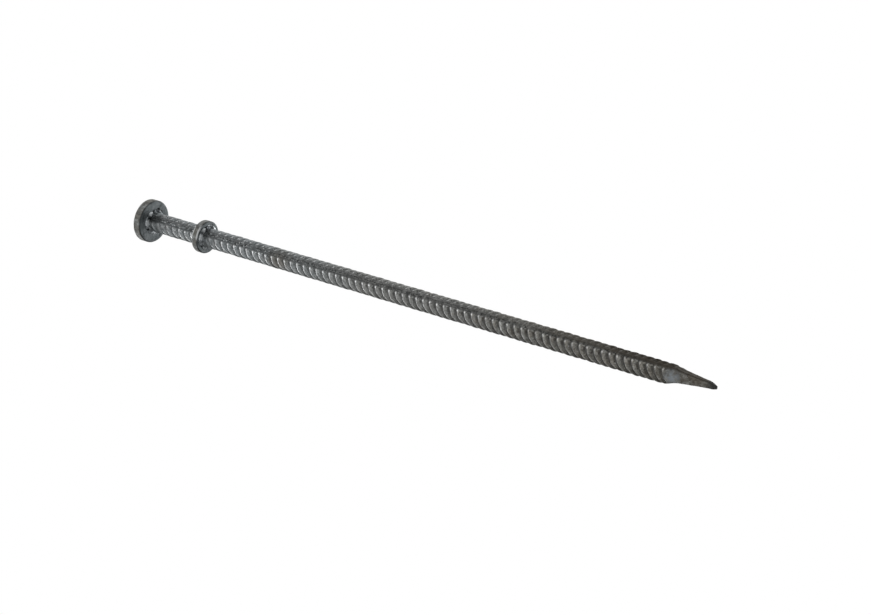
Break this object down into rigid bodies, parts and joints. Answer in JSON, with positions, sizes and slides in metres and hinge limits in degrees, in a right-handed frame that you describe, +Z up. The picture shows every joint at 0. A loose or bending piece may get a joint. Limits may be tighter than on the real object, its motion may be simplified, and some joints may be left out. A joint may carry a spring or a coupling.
{
  "type": "post anchor spike",
  "caption": "Ribbed steel ground spike with a forged point, a welded round striking head and a smaller welded stop collar below it.",
  "frame": {"origin": "centre of the stop collar's lower face, the seat that meets the post base", "axes": "+Z up the bar towards the striking head, as the spike stands in use; the bar's long seams face -Y and +Y and its rows of ribs face -X and +X"},
  "size_m": [0.0384, 0.0384, 0.61],
  "materials": {
    "bar_steel": "hot-rolled ribbed bar with a thin zinc coat, cool grey at the head and brownish mill scale toward the point",
    "disc_steel": "cut plate with a thin zinc coat, blue-grey faces and lighter worn rims",
    "weld_metal": "bright rippled weld bead with dark pits and spatter"
  },
  "bodies": {
    "spike": {"ribbed_shank": "bar_steel", "striking_head": "disc_steel", "stop_collar": "disc_steel", "head_top_weld": "weld_metal", "head_underside_weld": "weld_metal", "collar_weld": "weld_metal"}
  },
  "joints": []
}
